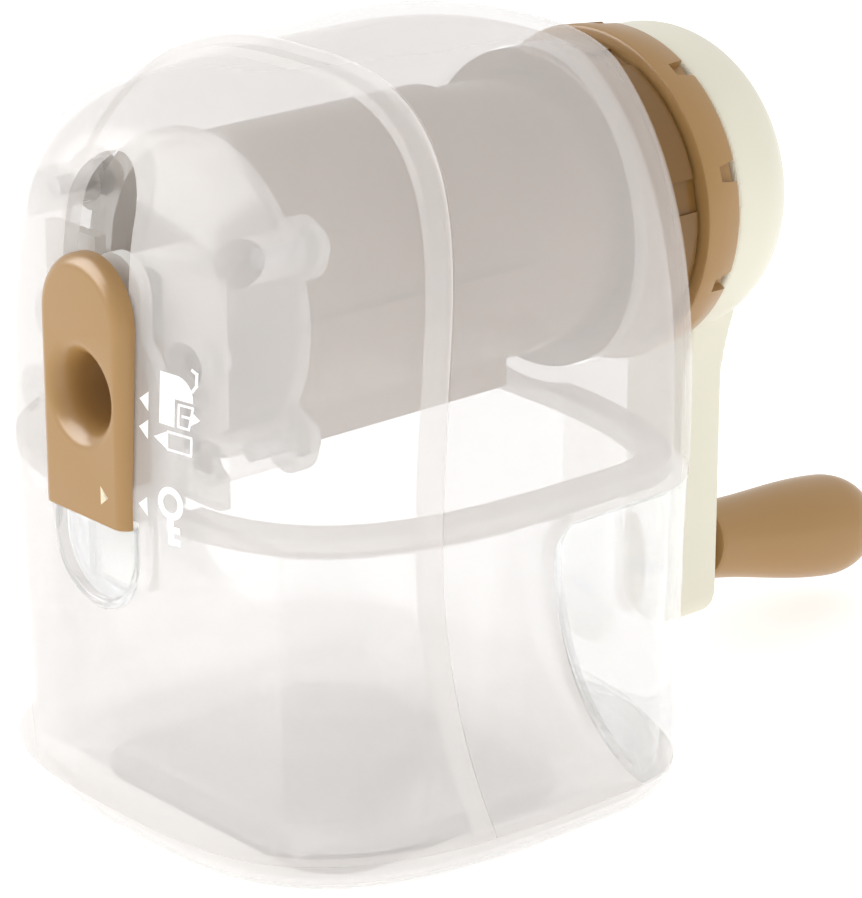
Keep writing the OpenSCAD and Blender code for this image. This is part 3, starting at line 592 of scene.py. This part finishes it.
collar_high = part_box("rear_collar")[1]
COLLAR = collar_high[0] / MM
COLLAR_FRONT = REAR_Y - 2.8
COLLAR_BACK = REAR_Y + 6.9
SPIGOT = COLLAR - 2.2
spigot_end = collar_high[1] / MM
collar = solid(turned([
    (9.5, REAR_Y - 1.1), (TAIL_RADIUS + 0.1, REAR_Y - 1.1), (TAIL_RADIUS + 0.1, COLLAR_FRONT),
    (COLLAR - 0.3, COLLAR_FRONT), (COLLAR, COLLAR_FRONT + 0.3), (COLLAR, COLLAR_BACK - 0.3),
    (COLLAR - 0.3, COLLAR_BACK), (SPIGOT, COLLAR_BACK), (SPIGOT, spigot_end),
    (SPIGOT - 1.6, spigot_end), (SPIGOT - 1.6, REAR_Y + 1.9), (9.5, REAR_Y + 1.9)]))
for i in range(6):
    groove = box_solid((-2, REAR_Y + 2.5, COLLAR - 0.6), (2, COLLAR_BACK + 0.5, COLLAR + 1.4))
    turn = Matrix.Rotation(math.radians(60 * i + 18), 4, "Y")
    groove.data.transform(Matrix.Translation((0, 0, AXIS_Z * MM)) @ turn)
    combine(collar, groove)
piece("rear_collar_moulding", collar, "casing", smoke, ["rear_collar"])


# --- Lock ring: tan ABS bayonet ring round the collar's spigot, with grip notches moulded
# in its rear edge.

lock_low, lock_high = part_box("lock_ring")
LOCK = lock_high[0] / MM
LOCK_FRONT, LOCK_BACK = lock_low[1] / MM, lock_high[1] / MM
lock = solid(turned([
    (SPIGOT + 0.3, LOCK_FRONT), (LOCK - 0.5, LOCK_FRONT), (LOCK - 0.15, LOCK_FRONT + 0.15),
    (LOCK, LOCK_FRONT + 0.5), (LOCK - 0.5, LOCK_BACK - 0.5), (LOCK - 0.65, LOCK_BACK - 0.15),
    (LOCK - 1.0, LOCK_BACK), (SPIGOT + 0.3, LOCK_BACK)]))
for i in range(9):
    notch = prism([(-0.9, LOCK_BACK - 3), (0.9, LOCK_BACK - 3), (1.5, LOCK_BACK + 1), (-1.5, LOCK_BACK + 1)],
                  "Z", LOCK - 1.7, LOCK + 1.3)
    notch = solid(notch)
    turn = Matrix.Rotation(math.radians(33 + 40 * i), 4, "Y")
    notch.data.transform(Matrix.Translation((0, 0, AXIS_Z * MM)) @ turn)
    combine(lock, notch)
piece("lock_ring_moulding", lock, "lock_ring", tan, ["lock_ring"])


# --- Crank arm: cream ABS, one moulding: a round hollow cap over the lock ring that eases
# into a flat arm with rounded corners.

arm_low, arm_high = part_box("crank_arm")
CAP_BACK = arm_high[1] / MM
CAP_FRONT = CAP_BACK - 12.6
CAP = COLLAR
CAP_ROUND = 8.0
CAP_WALL = 2.2
ARM_FRONT = CAP_BACK - 7.0
ARM_FOOT = arm_low[2] / MM
ARM_HALF = 5.0
ARM_CORNER = 3.7
dome = arc((CAP - CAP_ROUND, CAP_BACK - CAP_ROUND), CAP_ROUND, 0, 90, 14)
hollow = arc((CAP - CAP_ROUND, CAP_BACK - CAP_ROUND), CAP_ROUND - CAP_WALL, 90, 0, 14)
arm = solid(turned([(CAP - CAP_WALL, CAP_FRONT), (CAP, CAP_FRONT)] + dome + [(0.0, CAP_BACK)]
                   + [(0.0, CAP_BACK - CAP_WALL)] + hollow))
right = [(0, ARM_FOOT)] + arc((ARM_HALF - ARM_CORNER, ARM_FOOT + ARM_CORNER), ARM_CORNER, -90, 0, 10)
right += [(ARM_HALF + 2.6 * (i / 12) ** 1.6, AXIS_Z - CAP - 8.5 + i) for i in range(13)]
right += [(ARM_HALF + 2.6, AXIS_Z - CAP / 2)]
blade = solid(prism(right + [(-x, z) for x, z in reversed(right[1:])], "Y", ARM_FRONT, CAP_BACK - 0.01))
combine(blade, solid(rod(CAP - 2.5, ARM_FRONT - 1, CAP_BACK - CAP_WALL)))
combine(arm, blade, "UNION")
combine(arm, solid(rod(6.0, REAR_Y + 5.9, CAP_BACK - 1)), "UNION")
combine(arm, solid(rod(3.0, REAR_Y + 4.9, CAP_BACK - 5)))
arm.modifiers.new("skin", "REMESH").voxel_size = 0.38 * MM
ease = arm.modifiers.new("ease", "SMOOTH")
ease.factor = 0.5
ease.iterations = 7
# ABS in a pale yellowish cream with the same satin as the tan parts
cream = moulded("cream_abs", "#E9E5D2", 0.34, grain=0.3, relief=0.005)
piece("crank_arm_moulding", arm, "crank", cream, ["crank_arm"], crease=60)


# --- Knob: tan ABS, turned-looking pear shape that spins on a steel pin.

knob_joint = joints["knob_spin"]
KNOB_LENGTH = 32.5
KNOB_RADIUS = 6.8
KNOB_NECK = 5.03
KNOB_GAP = 1.2
BELLY = 0.76 * KNOB_LENGTH
side = [(KNOB_NECK - 0.4, KNOB_GAP), (KNOB_NECK - 0.1, KNOB_GAP + 0.1), (KNOB_NECK, KNOB_GAP + 0.4)]
side += [(KNOB_NECK + (KNOB_RADIUS - KNOB_NECK) * (1 - math.cos(math.pi * i / 24)) / 2,
          KNOB_GAP + (BELLY - KNOB_GAP) * i / 24) for i in range(1, 25)]
side += [(KNOB_RADIUS * math.cos(math.radians(a)) ** 0.8,
          BELLY + (KNOB_LENGTH - BELLY) * math.sin(math.radians(a))) for a in range(5, 90, 5)]
pin_hole = [(0.0, KNOB_LENGTH), (0.0, KNOB_LENGTH - 4), (2.05, KNOB_LENGTH - 4), (2.05, KNOB_GAP)]
knob = turned(side + pin_hole, steps=96, z=0.0)
direction = Vector(knob_joint["axis"])
tilt = Vector((0, 1, 0)).rotation_difference(direction).to_matrix().to_4x4()
bmesh.ops.transform(knob, matrix=Matrix.Translation(Vector(knob_joint["pos_m"])) @ tilt, verts=knob.verts[:])
piece("knob_moulding", knob, "knob", tan, ["knob"])


# --- Parts shown as they are made in the frame: their finishes.

# white acetal for sliding and bearing parts
white = moulded("white_acetal", "#F2F1EE", 0.35, grain=0.3, relief=0.005)
# plainer, thicker natural ABS of the inner mouldings
inner_frosted = moulded("inner_abs", "#E4DFD9", 0.3, grain=0.4, relief=0.006, Alpha=0.55)
# dark grey acetal gears
dark = moulded("dark_acetal", "#3A3836", 0.4, grain=0.3, relief=0.01)
# ground and drawn steel: fine streaks along the length break up its shine
steel = bpy.data.materials.new("steel")
steel.use_nodes = True
steel.node_tree.nodes.clear()
place = add(steel, "ShaderNodeTexCoord").outputs["Object"]
streaks = add(steel, "ShaderNodeMapping", {"Vector": place, "Scale": (4000, 300, 4000)})
brushed = add(steel, "ShaderNodeTexNoise", {"Vector": streaks.outputs["Vector"], "Scale": 1.0})
gloss = add(steel, "ShaderNodeMapRange", {"Value": brushed.outputs["Fac"], "To Min": 0.2, "To Max": 0.36})
metal = add(steel, "ShaderNodeBsdfPrincipled", {"Base Color": colour("#C9CACC"), "Metallic": 1.0,
                                                "Roughness": gloss.outputs["Result"]})
add(steel, "ShaderNodeOutputMaterial", {"Surface": metal.outputs["BSDF"]})

finishes = {
    "non_slip_pad": rubber, "bay_frame": inner_frosted, "slider_guide": inner_frosted,
    "mount_plate": inner_frosted,
    "guide_screws": steel, "detent_spring": steel, "mount_screws": steel, "pencil_guide": white,
    "ring_gear": dark, "hub_bush": white, "slider_carrier": white, "cutter_carrier": dark,
    "cutter_axle": steel, "drive_shaft": steel, "shaft_clip": steel, "knob_axle": steel,
    "helical_cutter": steel, "cutter_pinion": dark,
}
for name, finish in finishes.items():
    mesh = nodes[name].data
    mesh.materials.clear()
    mesh.materials.append(finish)


# --- Floor, lights and camera.

# matt white paper sweep, lit evenly enough to meet the white background
floor_material = bpy.data.materials.new("pale_floor")
floor_material.use_nodes = True
floor_shader = floor_material.node_tree.nodes["Principled BSDF"]
floor_shader.inputs["Base Color"].default_value = colour("#FBFBFB")
floor_shader.inputs["Roughness"].default_value = 0.9
floor_shader.inputs["Emission Color"].default_value = (1, 1, 1, 1)
floor_shader.inputs["Emission Strength"].default_value = 0.4
floor_form = bmesh.new()
bmesh.ops.create_grid(floor_form, x_segments=1, y_segments=1, size=3.0)
floor = solid(floor_form)
floor.name = "floor"
floor.data.materials.append(floor_material)

CAMERA_DISTANCE = 460.2
target = Vector((0.62, 15.44, 38.28)) * MM
azimuth = math.radians(48.64)
elevation = math.radians(19.96)
away = Vector((math.sin(azimuth) * math.cos(elevation), -math.cos(azimuth) * math.cos(elevation),
               math.sin(elevation)))
lens = bpy.data.cameras.new("camera")
lens.lens = 153.85
lens.clip_start = 0.01
camera = bpy.data.objects.new("camera", lens)
camera.location = target + away * CAMERA_DISTANCE * MM
camera.rotation_euler = (-away).to_track_quat("-Z", "Y").to_euler()
scene.collection.objects.link(camera)
scene.camera = camera

world = bpy.data.worlds.new("studio")
world.use_nodes = True
world.node_tree.nodes["Background"].inputs["Color"].default_value = (1, 1, 1, 1)
world.node_tree.nodes["Background"].inputs["Strength"].default_value = 0.86
scene.world = world


def softbox(name, place, aim, size, radiance):
    """A square studio light that points at a place."""
    made = bpy.data.lights.new(name, "AREA")
    made.shape = "RECTANGLE"
    made.size, made.size_y = size
    made.energy = radiance * math.pi * size[0] * size[1]
    holder = bpy.data.objects.new(name, made)
    holder.location = place
    holder.rotation_euler = (Vector(aim) - Vector(place)).to_track_quat("-Z", "Y").to_euler()
    scene.collection.objects.link(holder)
    return holder


softbox("key_softbox", (-0.45, -0.75, 0.55), (0, 0, 0.05), (0.8, 0.8), 0.9)
shine = softbox("shine_card", (-0.38, -0.5, 0.62), (0, 0, 0.07), (0.95, 0.95), 6.5)
shine.visible_diffuse = False
shine.visible_transmission = False

scene.view_settings.view_transform = "Standard"
scene.cycles.transparent_max_bounces = 32
scene.cycles.max_bounces = 16
scene.cycles.transmission_bounces = 16
